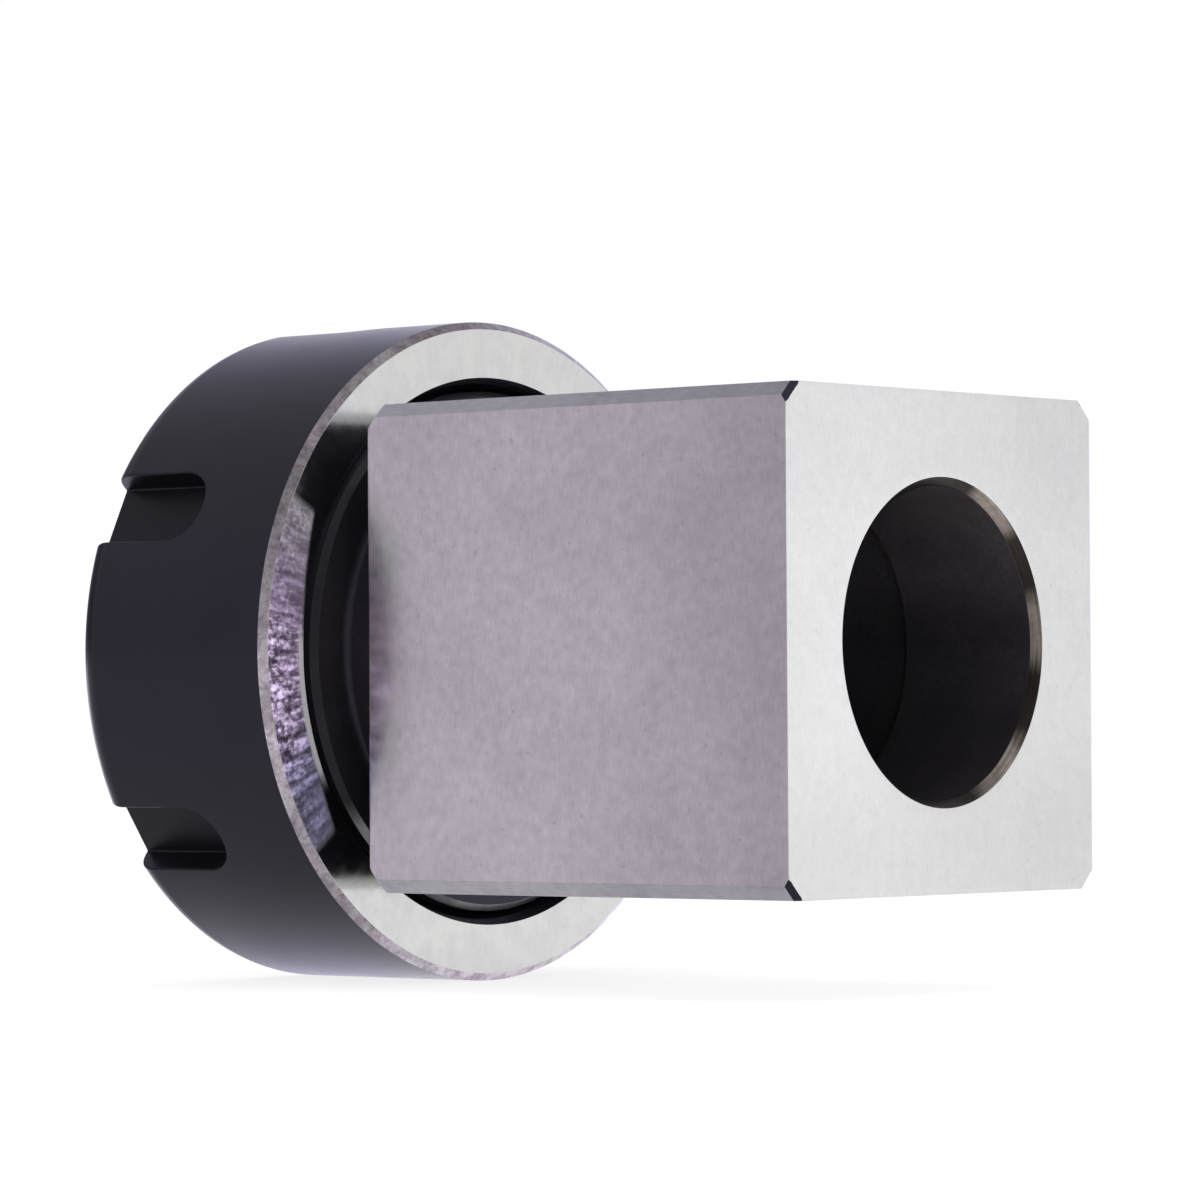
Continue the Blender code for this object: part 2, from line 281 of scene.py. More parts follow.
def eighth(half, band_sum, turn_r):
    """Half of a flat and of the corner beside it, as (distance from the axis, along the flat).

    band_sum is the sum of both coordinates along the 45-degree strip, and turn_r is the radius
    to which the corner is turned.
    """
    strip_reach = band_sum - half
    turned_reach = math.sqrt(turn_r**2 - half**2)
    reach = min(strip_reach, turned_reach)
    bend = math.pi / 4 if strip_reach < turned_reach else math.atan2(reach, half)
    start = reach - STRIP_BREAK * math.tan(bend / 2)
    flat_end = math.atan2(start, half)
    points = [(half, half * math.tan(flat_end * i / FLAT_STEPS)) for i in range(FLAT_STEPS)]
    for i in range(EDGE_STEPS + 1):
        angle = bend * i / EDGE_STEPS
        n = half - STRIP_BREAK * (1 - math.cos(angle))
        points.append((n, start + STRIP_BREAK * math.sin(angle)))
    band_start = math.atan2(points[-1][1], points[-1][0])
    for i in range(1, BAND_STEPS + 1):
        angle = band_start + (math.pi / 4 - band_start) * i / BAND_STEPS
        r = min(turn_r, band_sum / (math.cos(angle) + math.sin(angle)))
        points.append((r * math.cos(angle), r * math.sin(angle)))
    return points


def square_section(inset, turn_r):
    """The bar's outline, moved inwards by inset, as (Y, Z) rows from one corner round to it."""
    half = HALF - inset
    band_sum = 2 * HALF - CORNER_STRIP - math.sqrt(2) * inset
    upper = eighth(half, band_sum, turn_r)
    side = [(n, -t) for n, t in reversed(upper)] + upper[1:]
    outline = []
    for quarter in range(4):
        c, s = (1, 0, -1, 0)[quarter], (0, 1, 0, -1)[quarter]
        outline += [(n * c - t * s, n * s + t * c) for n, t in side[:-1]]
    return np.array(outline + outline[:1])


def column_angles():
    """Polar angles of the section's points, so that round rings line up with square ones."""
    section = square_section(0, 2 * HALF)
    angles = np.unwrap(np.arctan2(section[:, 1], section[:, 0]))
    angles[-1] = angles[0] + math.tau
    return angles


def corner_columns():
    """For each face round the section, whether it lies on a corner strip."""
    corner = EDGE_STEPS + BAND_STEPS
    quarter = 2 * (FLAT_STEPS + corner)
    return [min(j % quarter, quarter - 1 - j % quarter) < corner for j in range(4 * quarter)]


QUARTER_ROUND = quarter_round()
BLOCK_COLUMNS = column_angles()
ON_CORNER = corner_columns()
NUT_COLUMNS = np.linspace(0, math.tau, NUT_STEPS + 1)


class Skin:
    """A closed surface made ring by ring.

    Each ring is joined to the next with its own finish, which is one material or a list of
    materials, one for each column.
    """

    def __init__(self, columns):
        self.columns = columns
        self.rings = []
        self.finishes = []

    def add(self, ring, finish):
        self.rings.append(ring)
        self.finishes.append(finish)

    def circle(self, r, x, finish):
        """r and x are one number each, or one for each column."""
        ring = np.empty((len(self.columns), 3))
        ring[:, 0] = x
        ring[:, 1] = r * np.cos(self.columns)
        ring[:, 2] = r * np.sin(self.columns)
        self.add(ring, finish)

    def thread(self, start_x, end_x, crest_r, towards, finish):
        """A right-hand thread that fades out at both ends.

        It is cut from crest_r, inwards if towards is -1 and outwards if it is 1.
        """
        flank = (PITCH - CREST - ROOT) / 2
        shape = [
            (0, 0),
            (CREST, 0),
            (CREST + flank, THREAD_DEPTH),
            (CREST + flank + ROOT / 2, THREAD_DEPTH + ROOT_DIP),
            (CREST + flank + ROOT, THREAD_DEPTH),
        ]
        climb = PITCH * (self.columns - self.columns[0]) / math.tau
        turns = math.ceil((end_x - start_x) / PITCH) + 1
        for turn in range(turns):
            for along, depth in shape:
                x = start_x - PITCH + turn * PITCH + along + climb
                x = np.clip(x, start_x, end_x)
                room = np.clip(np.minimum(x - start_x, end_x - x) / THREAD_FADE, 0, 1)
                self.circle(crest_r + towards * depth * room**2 * (3 - 2 * room), x, finish)

    def mesh(self, name, finishes):
        """One welded mesh, with a material slot for each of the finishes."""
        width = len(self.columns)
        points = np.concatenate(self.rings)
        faces, slots = [], []
        for i, finish in enumerate(self.finishes):
            here, there = i * width, (i + 1) % len(self.rings) * width
            by_column = finish if isinstance(finish, list) else [finish] * (width - 1)
            for j in range(width - 1):
                faces.append((here + j, here + j + 1, there + j + 1, there + j))
                slots.append(finishes.index(by_column[j]))
        made = bpy.data.meshes.new(name)
        made.from_pydata(points.tolist(), [], faces)
        made.polygons.foreach_set("material_index", slots)
        for finish in finishes:
            made.materials.append(finish)
        weld(made)
        return made


def weld(mesh):
    shape = bmesh.new()
    shape.from_mesh(mesh)
    bmesh.ops.remove_doubles(shape, verts=shape.verts, dist=WELD)
    bmesh.ops.dissolve_degenerate(shape, edges=shape.edges, dist=WELD)
    bmesh.ops.recalc_face_normals(shape, faces=shape.faces)
    shape.to_mesh(mesh)
    shape.free()


def soften(profile):
    """Rounds the corners of an open profile of (radius, station, corner radius, finish) rows."""
    made = []
    for i, (r, x, corner, finish) in enumerate(profile):
        if not corner or i in (0, len(profile) - 1):
            made.append((r, x, finish))
            continue
        here = Vector((r, x))
        before = (Vector(profile[i - 1][:2]) - here).normalized()
        after = (Vector(profile[i + 1][:2]) - here).normalized()
        half_angle = before.angle(after) / 2
        centre = here + (before + after).normalized() * (corner / math.sin(half_angle))
        first = here + before * (corner / math.tan(half_angle)) - centre
        last = here + after * (corner / math.tan(half_angle)) - centre
        steps = FILLET_STEPS if corner > LARGE_ROUND else BREAK_STEPS
        turn = first.angle_signed(last)
        for k in range(steps + 1):
            angle = -turn * k / steps
            c, s = math.cos(angle), math.sin(angle)
            point = centre + Vector((first.x * c - first.y * s, first.x * s + first.y * c))
            made.append((point.x, point.y, profile[i - 1][3] if k < steps / 2 else finish))
    return made


def turned_r(x):
    """Radius to which corners are turned at station x: round at the shoulder, chamfered behind."""
    if x >= REAR_CHAMFER_X:
        return CORNER_R - (x - REAR_CHAMFER_X)
    if x >= ROUND_END_X:
        return CORNER_R + (x - ROUND_END_X) * math.tan(SHOULDER_RUNOUT)
    sag = math.sqrt(SHOULDER_CORNER_ROUND**2 - (ROUND_CENTRE_X - x) ** 2)
    return CORNER_R - SHOULDER_CORNER_ROUND * math.cos(SHOULDER_RUNOUT) + sag


def plain_stations(first, last, steps):
    """(0, station) pairs of a stretch without an inset, after first and up to last."""
    return [(0, x) for x in np.linspace(first, last, steps + 1)[1:]]


def body_stations():
    """(inset, station, turned corner radius) of the bar's sections, from shoulder to rear."""
    side, depth = REAR_BREAK
    front_x = SHOULDER_X + SHOULDER_BREAK
    stations = [(SHOULDER_BREAK * a, SHOULDER_X + SHOULDER_BREAK * b) for a, b in QUARTER_ROUND]
    stations += plain_stations(front_x, CHAMFER_END_X, SHOULDER_CHAMFER_STEPS)
    stations += plain_stations(CHAMFER_END_X, ROUND_END_X, CORNER_ROUND_STEPS)
    stations += plain_stations(ROUND_END_X, REAR_CHAMFER_X, BODY_STEPS)
    stations += plain_stations(REAR_CHAMFER_X, REAR_X - depth, REAR_CORNER_STEPS)[:-1]
    stations += [(side * a, REAR_X - depth * b) for a, b in reversed(QUARTER_ROUND)]
    return [(inset, x, turned_r(x)) for inset, x in stations]


def body_ring(inset, x, turn_r):
    """The bar's section at station x, with its top and bottom chamfered beside the shoulder."""
    section = square_section(inset, turn_r)
    top = HALF - inset - max(0, SHOULDER_CHAMFER - (x - SHOULDER_X))
    section[:, 1] = np.clip(section[:, 1], -top, top)
    return np.column_stack([np.full(len(section), x), section])


def body_finish(ring, flats, end, strips, corners):
    """The finish of each column behind a ring. Both ends' edges have finishes of their own."""
    x = ring[0, 0]
    side = end if x > REAR_X - REAR_BREAK[1] - WELD else flats
    corner = corners if x > REAR_CHAMFER_X - WELD else strips
    edge = end if x < CHAMFER_END_X - WELD else side
    high = np.abs(ring[:, 2]) > HALF - CORNER_STRIP + WELD
    flat = [edge if is_high else side for is_high in high[:-1] & high[1:]]
    return [corner if at_corner else flat[j] for j, at_corner in enumerate(ON_CORNER)]


def block_mesh(flats, end, strips, corners, oxide, bore, bore_edge, nose_edge):
    """Rings from the rear face in through the bore, out over the nose and back along the bar."""
    skin = Skin(BLOCK_COLUMNS)
    inside = [
        (BORE_R + BORE_CHAMFER + MM, REAR_X, 0, end),
        (BORE_R + BORE_CHAMFER, REAR_X, BORE_BREAK, bore_edge),
        (BORE_R, REAR_X - BORE_CHAMFER, BORE_BREAK, bore),
        (BORE_R, BORE_STEP_X, TURNED_BREAK, bore),
        (RELIEF_R, BORE_STEP_X, TURNED_BREAK, bore),
        (RELIEF_R, SOCKET_END_X, 0, bore),
        (SOCKET_MOUTH_R, SOCKET_MOUTH_X, 0, oxide),
        (SOCKET_MOUTH_R + SOCKET_MOUTH_CHAMFER, NOSE_FRONT_X, TURNED_BREAK, oxide),
        (NOSE_R - NOSE_CHAMFER, NOSE_FRONT_X, TURNED_BREAK, oxide),
        (NOSE_R, NOSE_FRONT_X + NOSE_CHAMFER, 0, oxide),
    ]
    outside = [
        (NOSE_R, NOSE_REAR_X - NOSE_CHAMFER, 0, nose_edge),
        (NOSE_R - NOSE_CHAMFER, NOSE_REAR_X, TURNED_BREAK, oxide),
        (NECK_R, NOSE_REAR_X, NECK_FILLET, oxide),
        (NECK_R, SHOULDER_X, NECK_FILLET, oxide),
        (SHOULDER_RING_R, SHOULDER_X, 0, oxide),
    ]
    for r, x, finish in soften(inside):
        skin.circle(r, x, finish)
    skin.thread(NOSE_FRONT_X + NOSE_CHAMFER, NOSE_REAR_X - NOSE_CHAMFER, NOSE_R, -1, oxide)
    for r, x, finish in soften(outside):
        skin.circle(r, x, finish)
    for station in body_stations():
        ring = body_ring(*station)
        skin.add(ring, body_finish(ring, flats, end, strips, corners))
    skin.finishes[-1] = end
    finishes = [flats, end, strips, corners, oxide, bore, bore_edge, nose_edge]
    return skin.mesh("collet_block", finishes)


def lip_radius(angles):
    """Distance from the nut's axis to the lip's inner edge, a circle set off towards +Z."""
    across = LIP_OFFSET * np.cos(angles)
    return LIP_OFFSET * np.sin(angles) + np.sqrt(LIP_R**2 - across**2)


def nut_mesh(oxide, ring, rim):
    """Rings from the thread's rear end over the outside, then back in through the nut's hole."""
    skin = Skin(NUT_COLUMNS)
    outside = [
        (NUT_BORE_R, NUT_REAR_X - NUT_ENTRY_CHAMFER, 0, oxide),
        (NUT_BORE_R + NUT_ENTRY_CHAMFER, NUT_REAR_X, TURNED_BREAK, ring),
        (NUT_R - NUT_REAR_CHAMFER, NUT_REAR_X, TURNED_BREAK, rim),
        (NUT_R, NUT_REAR_X - NUT_REAR_CHAMFER, TURNED_BREAK, oxide),
        (NUT_R, NUT_FRONT_X, NUT_FRONT_FILLET, oxide),
        (NUT_HOLE_R + NUT_HOLE_CHAMFER, NUT_FRONT_X, TURNED_BREAK, oxide),
        (NUT_HOLE_R, NUT_FRONT_X + NUT_HOLE_CHAMFER, TURNED_BREAK, oxide),
        (NUT_HOLE_R, SEAT_FRONT_X, TURNED_BREAK, oxide),
        (SEAT_R, SEAT_REAR_X, 0, oxide),
        (GROOVE_R, SEAT_REAR_X, 0, oxide),
        (GROOVE_R, LIP_FRONT_X, 0, oxide),
    ]
    for r, x, finish in soften(outside):
        skin.circle(r, x, finish)
    lip = lip_radius(NUT_COLUMNS)
    for back, along in QUARTER_ROUND:
        skin.circle(lip + LIP_BREAK * back, LIP_FRONT_X + LIP_BREAK * along, oxide)
    for along, back in QUARTER_ROUND:
        skin.circle(lip + LIP_BREAK * back, LIP_REAR_X - LIP_BREAK * along, oxide)
    skin.circle(THREAD_RELIEF_R, LIP_REAR_X, oxide)
    skin.circle(THREAD_RELIEF_R, THREAD_RELIEF_X, oxide)
    skin.circle(NUT_BORE_R, NUT_THREAD_X, oxide)
    skin.thread(NUT_THREAD_X, NUT_REAR_X - NUT_ENTRY_CHAMFER, NUT_BORE_R, 1, oxide)
    return skin.mesh("slotted_nut", [oxide, ring, rim])


def nut_outer_r(x):
    """Outer radius of the nut at station x, round its front fillet."""
    into = max(0, NUT_FRONT_FILLET - (x - NUT_FRONT_X))
    into = min(into, NUT_FRONT_FILLET)
    return NUT_R - NUT_FRONT_FILLET + math.sqrt(NUT_FRONT_FILLET**2 - into**2)


def slot_outline(grow):
    """Outline of a slot, seen from outside and grown by grow, as (station, across) pairs."""
    half = SLOT_HALF + grow
    end_x = NUT_FRONT_X + SLOT_LENGTH - SLOT_HALF
    front_x = NUT_FRONT_X - MM
    straight = [front_x, NUT_FRONT_X - SLOT_CORNER]
    for i in range(SLOT_FRONT_STEPS + 1):
        straight.append(NUT_FRONT_X + NUT_FRONT_FILLET * i / SLOT_FRONT_STEPS)
    points = [(x, -half) for x in straight]
    for i in range(SLOT_END_STEPS + 1):
        angle = -math.pi / 2 + math.pi * i / SLOT_END_STEPS
        points.append((end_x + half * math.cos(angle), half * math.sin(angle)))
    points += [(x, half) for x in reversed(straight)]
    return points


def slot_levels():
    """(grown by, height above the floor, height from the nut's skin) up a slot's wall.

    One of the two heights is None.
    """
    levels = [(-SLOT_CORNER * a, SLOT_CORNER * b, None) for a, b in QUARTER_ROUND[:-1]]
    levels.append((0, SLOT_CORNER, None))
    for i in range(SLOT_BREAK_STEPS + 1):
        angle = SLOT_BREAK_TURN * i / SLOT_BREAK_STEPS
        grow = SLOT_BREAK * (1 - math.cos(angle))
        from_skin = SLOT_BREAK * (math.sin(angle) - 1)
        levels.append((grow, None, from_skin))
    grow += SLOT_FLARE * math.tan(SLOT_BREAK_TURN)
    levels.append((grow, None, from_skin + SLOT_FLARE))
    levels.append((grow, CUTTER_HEIGHT, None))
    return levels


def wall_height(x, across, grow, above_floor, from_skin):
    """Distance from the nut's axis of a point on a cutter's wall."""
    if from_skin is None:
        return SLOT_FLOOR_R + above_floor
    height = math.sqrt(nut_outer_r(x) ** 2 - across**2) + from_skin
    # Where the skin dips below the slot's floor, the levels stay just above it, in their order.
    lowest = SLOT_FLOOR_R + SLOT_CORNER * 1.05 + grow * 0.1
    return max(height, lowest)


def slot_cutter(finish):
    """All the slots' cutters in one mesh. Their walls follow the nut's skin, to break its edge."""
    points, faces = [], []
    levels = slot_levels()
    width = len(slot_outline(0))
    for number in range(SLOT_COUNT):
        turn = FIRST_SLOT_ANGLE + math.tau * number / SLOT_COUNT
        out = Vector((0, -math.cos(turn), math.sin(turn)))
        across_way = Vector((0, math.sin(turn), math.cos(turn)))
        first = len(points)
        for rise in levels:
            for x, across in slot_outline(rise[0]):
                height = wall_height(x, across, *rise)
                points.append(Vector((x, 0, 0)) + out * height + across_way * across)
        for level in range(len(levels) - 1):
            for i in range(width):
                here, j = first + level * width, (i + 1) % width
                faces.append((here + i, here + j, here + width + j, here + width + i))
        faces.append(tuple(first + i for i in range(width)))
        top = first + (len(levels) - 1) * width
        faces.append(tuple(top + i for i in reversed(range(width))))
    made = bpy.data.meshes.new("slot_cutter")
    made.from_pydata([tuple(p) for p in points], [], faces)
    made.materials.append(finish)
    weld(made)
    return made


def new_object(name, mesh):
    made = bpy.data.objects.new(name, mesh)
    bpy.context.scene.collection.objects.link(made)
    return made


def cut_slots(nut, finish):
    cutter = new_object("slot_cutter", slot_cutter(finish))
    cut = nut.modifiers.new("Slots", "BOOLEAN")
    cut.operation = "DIFFERENCE"
    cut.solver = "EXACT"
    cut.material_mode = "TRANSFER"
    cut.object = cutter
    bpy.context.view_layer.update()
    graph = bpy.context.evaluated_depsgraph_get()
    mesh = bpy.data.meshes.new_from_object(nut.evaluated_get(graph))
    nut.modifiers.clear()
    nut.data = mesh
    mesh.name = "slotted_nut"
    bpy.data.objects.remove(cutter, do_unlink=True)


def shade(piece):
    """Smooth faces with crisp corners; the large faces set the shading beside the edge breaks."""
    piece.data.shade_smooth()
    piece.data.set_sharp_from_angle(angle=CRISP_ANGLE)
    weigh = piece.modifiers.new("Weighted normals", "WEIGHTED_NORMAL")
    weigh.keep_sharp = True
    weigh.weight = FACE_WEIGHT


def wire(tree, kind, inputs=None, **settings):
    """A node with its settings, whose inputs are values or other nodes' sockets."""
    made = tree.nodes.new(kind)
    for name, value in settings.items():
        setattr(made, name, value)
    for key, value in (inputs or {}).items():
        if isinstance(value, bpy.types.NodeSocket):
            tree.links.new(value, made.inputs[key])
        else:
            made.inputs[key].default_value = value
    return made


def place_in_mm(tree, stretch=(1, 1, 1)):
    """Place on the piece in millimetres, stretched along X, Y and Z."""
    where = wire(tree, "ShaderNodeTexCoord").outputs["Object"]
    return multiplied(tree, where, tuple(1000 * s for s in stretch))


def multiplied(tree, first, second):
    """Two colours or vectors multiplied part by part."""
    inputs = {0: first, 1: second}
    return wire(tree, "ShaderNodeVectorMath", inputs, operation="MULTIPLY").outputs[0]


def noise(tree, where, scale, detail=3.0, rough=0.55):
    """Noise with about scale grains per unit of where."""
    inputs = {"Vector": where, "Scale": scale, "Detail": detail, "Roughness": rough}
    return wire(tree, "ShaderNodeTexNoise", inputs).outputs["Fac"]


def spread(tree, value, low, high, to_low, to_high, kind="LINEAR"):
    """A value's range from low to high, turned into the one from to_low to to_high."""
    inputs = {"Value": value, "From Min": low, "From Max": high}
    inputs.update({"To Min": to_low, "To Max": to_high})
    made = wire(tree, "ShaderNodeMapRange", inputs, clamp=True, interpolation_type=kind)
    return made.outputs["Result"]


def smooth(tree, value, low, high, to_low, to_high):
    """The same as spread, with soft ends."""
    return spread(tree, value, low, high, to_low, to_high, "SMOOTHSTEP")


def swing(tree, value, to_low, to_high):
    """Noise, most of which lies between 0.3 and 0.7, turned into another range."""
    return spread(tree, value, 0.3, 0.7, to_low, to_high)


def maths(tree, operation, *values):
    return wire(tree, "ShaderNodeMath", dict(enumerate(values)), operation=operation).outputs[0]


def between(tree, factor, first, second):
    """A colour between two colours."""
    mix = wire(tree, "ShaderNodeMix", data_type="RGBA")
    for key, value in (("Factor_Float", factor), ("A_Color", first), ("B_Color", second)):
        socket = next(s for s in mix.inputs if s.identifier == key)
        if isinstance(value, bpy.types.NodeSocket):
            tree.links.new(value, socket)
        else:
            socket.default_value = value if key == "Factor_Float" else (*value, 1.0)
    return next(s for s in mix.outputs if s.identifier == "Result_Color")


def patchy(tree, value, low, high, first, second):
    """The first colour where a noise is below low, and the second where it is above high."""
    return between(tree, spread(tree, value, low, high, 0.0, 1.0), first, second)


def scaled(tree, colour, amount):
    """A colour made lighter or darker by amount."""
    inputs = {0: colour, "Scale": amount}
    return wire(tree, "ShaderNodeVectorMath", inputs, operation="SCALE").outputs[0]


def bump(tree, height, depth):
    """Normals of a relief that is depth deep."""
    inputs = {"Height": height, "Distance": depth}
    return wire(tree, "ShaderNodeBump", inputs).outputs["Normal"]


def new_material(name, metallic):
    made = bpy.data.materials.new(name)
    made.use_nodes = True
    shader = made.node_tree.nodes["Principled BSDF"]
    shader.inputs["Metallic"].default_value = metallic
    return made, made.node_tree, shader


def faded(tree, colour, fades):
    """A colour with painted shade and light that gets darker or lighter along the piece's axes."""
    axes = wire(tree, "ShaderNodeSeparateXYZ", {0: place_in_mm(tree)}).outputs
    for axis, first, last, bright in fades:
        colour = scaled(tree, colour, smooth(tree, axes[axis], first, last, 1.0, bright))
    return colour


def shoulder_shade_mask(tree):
    """Mask of the painted shade beside the shoulder: 1 halfway up each flat there, fading out to
    0.
    """
    x, y, z = wire(tree, "ShaderNodeSeparateXYZ", {0: place_in_mm(tree)}).outputs
    across = maths(tree, "MINIMUM", maths(tree, "ABSOLUTE", y), maths(tree, "ABSOLUTE", z))
    end = SHOULDER_X / MM
    along = smooth(tree, x, end, end + SHOULDER_SHADE_LENGTH, 1.0, 0.0)
    return maths(tree, "MULTIPLY", along, smooth(tree, across, *SHOULDER_SHADE_ACROSS, 1.0, 0.0))


def ground_steel(name, dark, light, stretch, grain_depth, rough, fades, contrast=1.0):
    """Ground steel with a fine grain, soft clouds and a few specks, with painted shade along its
    axes and beside the shoulder.
    """
    made, tree, shader = new_material(name, 1.0)
    plain = place_in_mm(tree)
    grain = noise(tree, place_in_mm(tree, stretch), scale=1.0, detail=2.0)
    clouds = noise(tree, plain, scale=0.11, detail=4.0, rough=0.6)
    mottle = noise(tree, plain, scale=0.9, rough=0.6)
    specks = noise(tree, plain, scale=1.6, detail=1.0, rough=0.3)
    shades = [
        swing(tree, grain, 1 - 0.06 * contrast, 1 + 0.06 * contrast),
        swing(tree, mottle, 1 - 0.08 * contrast, 1 + 0.07 * contrast),
        spread(tree, specks, 0.68, 0.76, 1.0, 1 - 0.14 * contrast),
    ]
    colour = patchy(tree, clouds, 0.35, 0.65, dark, light)
    for shade_by in shades:
        colour = scaled(tree, colour, shade_by)
    # Painted shade along the piece's axes
    colour = faded(tree, colour, fades)
    # Painted shade beside the shoulder
    shoulder_shaded = multiplied(tree, colour, SHOULDER_SHADE)
    colour = between(tree, shoulder_shade_mask(tree), colour, shoulder_shaded)
    grainy = swing(tree, grain, rough - 0.03, rough + 0.03)
    cloudy = swing(tree, clouds, 0.02, -0.02)
    tree.links.new(colour, shader.inputs["Base Color"])
    tree.links.new(maths(tree, "ADD", grainy, cloudy), shader.inputs["Roughness"])
    tree.links.new(bump(tree, grain, grain_depth), shader.inputs["Normal"])
    return made


def polar(tree):
    """Station and radius in millimetres, and the Y and Z parts of the way out from the axis."""
    x, y, z = wire(tree, "ShaderNodeSeparateXYZ", {0: place_in_mm(tree)}).outputs
    square = maths(tree, "MULTIPLY_ADD", y, y, maths(tree, "MULTIPLY", z, z))
    radius = maths(tree, "SQRT", square)
    return x, radius, maths(tree, "DIVIDE", y, radius), maths(tree, "DIVIDE", z, radius)


def round_noise(tree, along, out_y, out_z, around, detail=2.0):
    """Noise over a place along the piece and the direction from its axis, stretched by around."""
    inputs = {
        0: along,
        1: maths(tree, "MULTIPLY", out_y, around),
        2: maths(tree, "MULTIPLY", out_z, around),
    }
    return noise(tree, wire(tree, "ShaderNodeCombineXYZ", inputs).outputs[0], 1.0, detail)


def turning_marks(tree, along, around):
    """Noise of fine lines that run round the spindle axis."""
    x, radius, out_y, out_z = polar(tree)
    line = maths(tree, "MULTIPLY", maths(tree, "ADD", radius, x), along)
    return round_noise(tree, line, out_y, out_z, around)


def sector(tree, angle, half_width, soft):
    """1 in a sector round the axis and 0 outside it. The angle runs from +Y towards +Z."""
    _, _, out_y, out_z = polar(tree)
    c, s = math.cos(math.radians(angle)), math.sin(math.radians(angle))
    facing = maths(tree, "MULTIPLY_ADD", out_y, c, maths(tree, "MULTIPLY", out_z, s))
    edges = [math.cos(math.radians(half_width + side * soft)) for side in (1, -1)]
    return smooth(tree, facing, *edges, 0.0, 1.0)


def black_oxide(name, dark, light, rough, ior=OXIDE_IOR, fades=()):
    """Satin black oxide over fine turning marks, with a faint mottle."""
    made, tree, shader = new_material(name, 0.0)
    plain = place_in_mm(tree)
    clouds = noise(tree, plain, scale=0.14, detail=4.0, rough=0.6)
    mottle = noise(tree, plain, scale=2.2, rough=0.6)
    marks = turning_marks(tree, along=5.0, around=3.0)
    colour = patchy(tree, clouds, 0.35, 0.65, dark, light)
    # Fades, where given, paint light and shade along the piece's axes.
    colour = faded(tree, scaled(tree, colour, swing(tree, mottle, 0.85, 1.18)), fades)
    cloudy = swing(tree, clouds, rough - 0.03, rough + 0.03)
    mottled = swing(tree, mottle, -0.03, 0.03)
    relief = maths(tree, "MULTIPLY_ADD", mottle, 0.5, marks)
    tree.links.new(colour, shader.inputs["Base Color"])
    tree.links.new(maths(tree, "ADD", cloudy, mottled), shader.inputs["Roughness"])
    tree.links.new(bump(tree, relief, depth=0.0008 * MM), shader.inputs["Normal"])
    shader.inputs["IOR"].default_value = ior
    shader.inputs["Specular Tint"].default_value = (*OXIDE_TINT, 1.0)
    return made


def tint_colour(tree, radius, out_z, streaks):
    """Colour of the ring's tinted sector: it changes with height, streaked and speckled, with a
    painted highlight in its heart.
    """
    heart = sector(tree, *RING_HEART)
    grit = noise(tree, place_in_mm(tree), scale=1.9, rough=0.6)
    low = smooth(tree, out_z, *LOW_TO_MIDDLE, 1.0, 0.0)
    high = smooth(tree, out_z, *MIDDLE_TO_HIGH, 0.0, 1.0)
    tint = between(tree, low, TINT_MIDDLE, TINT_LOW)
    tint = between(tree, high, tint, TINT_HIGH)
    tint = scaled(tree, tint, spread(tree, streaks, 0.34, 0.52, 0.55, 1.05))
    tint = scaled(tree, tint, spread(tree, streaks, 0.52, 0.66, 1.0, 1.6))
    depth = smooth(tree, radius, *SPECKLE_GROWS, 0.12, 0.35)
    depth = maths(tree, "MULTIPLY_ADD", heart, HEART_DEPTH, depth)
    speckle = spread(tree, grit, 0.40, 0.60, -1.0, 1.0)
    speckle = maths(tree, "MULTIPLY_ADD", speckle, depth, 1.0)
    lines = spread(tree, streaks, 0.42, 0.58, -0.5, 0.5)
    lines = maths(tree, "MULTIPLY", lines, heart)
    speckle = maths(tree, "MULTIPLY_ADD", speckle, lines, speckle)
    # The heart's painted highlight
    heart_highlight = maths(tree, "MULTIPLY_ADD", heart, HEART_HIGHLIGHT, 1.0)
    return scaled(tree, tint, maths(tree, "MULTIPLY", speckle, heart_highlight))


